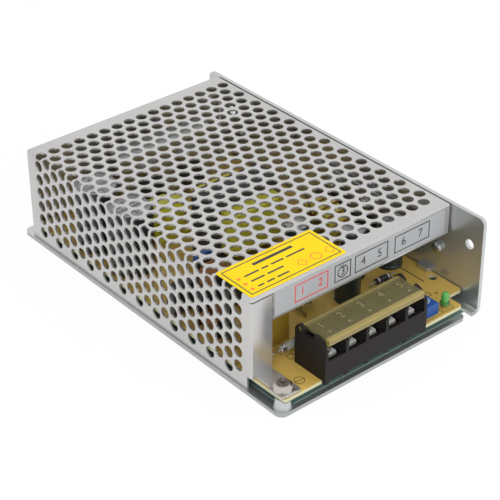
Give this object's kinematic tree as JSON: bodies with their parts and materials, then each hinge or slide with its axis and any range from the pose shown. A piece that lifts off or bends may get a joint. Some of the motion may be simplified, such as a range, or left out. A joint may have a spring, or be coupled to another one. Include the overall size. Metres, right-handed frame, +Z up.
{
  "type": "enclosed power supply",
  "caption": "Enclosed switching power supply: folded tray, perforated cover, open terminal end with a screw terminal block under a hinged clear flap, trimmer and indicator.",
  "frame": {"origin": "middle of the part's box, on the underside of the plate it stands on", "axes": "+X towards the tall wall, -Y towards the terminals, +Z up through the cover"},
  "size_m": [0.098, 0.1582, 0.0406],
  "materials": {
    "chassis_metal": "brushed",
    "cover_metal": "satin zinc coated",
    "insert_metal": "plain",
    "label_film": "satin printed",
    "board_laminate": "satin",
    "sheet_film": "matt",
    "screw_metal": "nickel plated",
    "block_plastic": "moulded",
    "flap_plastic": "clear tinted",
    "contact_metal": "nickel plated",
    "trimmer_plastic": "moulded",
    "rotor_plastic": "moulded",
    "lamp_plastic": "clear tinted",
    "fuse_glass": "clear with plated caps",
    "film_plastic": "moulded",
    "disc_green": "dipped",
    "disc_blue": "dipped",
    "ferrite": "ground",
    "coil_copper": "enamelled",
    "package_plastic": "moulded",
    "sleeve_black": "shrink sleeve",
    "tape_yellow": "taped",
    "sink_metal": "milled",
    "ring_iron": "painted",
    "resistor_coat": "dipped",
    "wire_tin": "tinned"
  },
  "bodies": {
    "case": {"chassis": "chassis_metal", "side_inserts": "insert_metal", "cover": "cover_metal", "label": "label_film", "circuit_board": "board_laminate", "insulating_sheet": "sheet_film", "earth_screw": "screw_metal", "square_washer": "screw_metal", "board_screws": "screw_metal", "wall_screws": "screw_metal", "terminal_housing": "block_plastic", "trimmer_body": "trimmer_plastic", "indicator_led": "lamp_plastic", "fuse": "fuse_glass", "film_capacitor": "film_plastic", "thermistor": "disc_green", "choke_core": "ferrite", "choke_windings": "coil_copper", "bridge_rectifier": "package_plastic", "transformer_core": "ferrite", "transformer_winding": "tape_yellow", "driver_transformer": "tape_yellow", "transistor_heatsink": "sink_metal", "heat_bar": "sink_metal", "device_screws": "screw_metal", "inductor_core": "ring_iron", "inductor_winding": "coil_copper", "control_chip": "package_plastic", "resistors": "resistor_coat", "diodes": "package_plastic", "jumper_wires": "wire_tin", "bulk_capacitor_a": "sleeve_black", "bulk_capacitor_b": "sleeve_black", "output_capacitor_a": "sleeve_black", "output_capacitor_b": "sleeve_black", "output_capacitor_c": "sleeve_black", "output_capacitor_d": "sleeve_black", "y_capacitor_a": "disc_blue", "y_capacitor_b": "disc_blue", "power_transistor_a": "package_plastic", "power_transistor_b": "package_plastic", "output_rectifier_a": "package_plastic", "output_rectifier_b": "package_plastic", "contact_bar_1": "contact_metal", "contact_bar_2": "contact_metal", "contact_bar_3": "contact_metal", "contact_bar_4": "contact_metal", "contact_bar_5": "contact_metal"},
    "flap": {"terminal_flap": "flap_plastic"},
    "rotor": {"trimmer_rotor": "rotor_plastic"},
    "clamp_1": {"clamp_plate_1": "contact_metal"},
    "screw_1": {"terminal_screw_1": "screw_metal"},
    "clamp_2": {"clamp_plate_2": "contact_metal"},
    "screw_2": {"terminal_screw_2": "screw_metal"},
    "clamp_3": {"clamp_plate_3": "contact_metal"},
    "screw_3": {"terminal_screw_3": "screw_metal"},
    "clamp_4": {"clamp_plate_4": "contact_metal"},
    "screw_4": {"terminal_screw_4": "screw_metal"},
    "clamp_5": {"clamp_plate_5": "contact_metal"},
    "screw_5": {"terminal_screw_5": "screw_metal"}
  },
  "joints": [
    {"name": "flap_hinge", "type": "hinge", "parent": "case", "child": "flap", "pos_m": [0, -0.06575, 0.0227], "axis": [-1, 0, 0], "range_deg": [0, 95]},
    {"name": "trimmer_turn", "type": "hinge", "parent": "case", "child": "rotor", "pos_m": [0.026, -0.07155, 0.011], "axis": [0, 0, 1], "range_deg": [-135, 135]},
    {"name": "clamp_lift_1", "type": "slide", "parent": "case", "child": "clamp_1", "axis": [0, 0, 1], "range_m": [0, 0.0028]},
    {"name": "screw_turn_1", "type": "hinge", "parent": "clamp_1", "child": "screw_1", "pos_m": [-0.02455, -0.07125, 0.0143], "axis": [0, 0, 1], "range_deg": [0, 1440]},
    {"name": "clamp_lift_2", "type": "slide", "parent": "case", "child": "clamp_2", "axis": [0, 0, 1], "range_m": [0, 0.0028]},
    {"name": "screw_turn_2", "type": "hinge", "parent": "clamp_2", "child": "screw_2", "pos_m": [-0.01505, -0.07125, 0.0143], "axis": [0, 0, 1], "range_deg": [0, 1440]},
    {"name": "clamp_lift_3", "type": "slide", "parent": "case", "child": "clamp_3", "axis": [0, 0, 1], "range_m": [0, 0.0028]},
    {"name": "screw_turn_3", "type": "hinge", "parent": "clamp_3", "child": "screw_3", "pos_m": [-0.00555, -0.07125, 0.0143], "axis": [0, 0, 1], "range_deg": [0, 1440]},
    {"name": "clamp_lift_4", "type": "slide", "parent": "case", "child": "clamp_4", "axis": [0, 0, 1], "range_m": [0, 0.0028]},
    {"name": "screw_turn_4", "type": "hinge", "parent": "clamp_4", "child": "screw_4", "pos_m": [0.00395, -0.07125, 0.0143], "axis": [0, 0, 1], "range_deg": [0, 1440]},
    {"name": "clamp_lift_5", "type": "slide", "parent": "case", "child": "clamp_5", "axis": [0, 0, 1], "range_m": [0, 0.0028]},
    {"name": "screw_turn_5", "type": "hinge", "parent": "clamp_5", "child": "screw_5", "pos_m": [0.01345, -0.07125, 0.0143], "axis": [0, 0, 1], "range_deg": [0, 1440]}
  ],
  "couplings": [
    {"joint": "screw_turn_1", "follows": "clamp_lift_1", "rad_per_m": 8976},
    {"joint": "screw_turn_2", "follows": "clamp_lift_2", "rad_per_m": 8976},
    {"joint": "screw_turn_3", "follows": "clamp_lift_3", "rad_per_m": 8976},
    {"joint": "screw_turn_4", "follows": "clamp_lift_4", "rad_per_m": 8976},
    {"joint": "screw_turn_5", "follows": "clamp_lift_5", "rad_per_m": 8976}
  ]
}
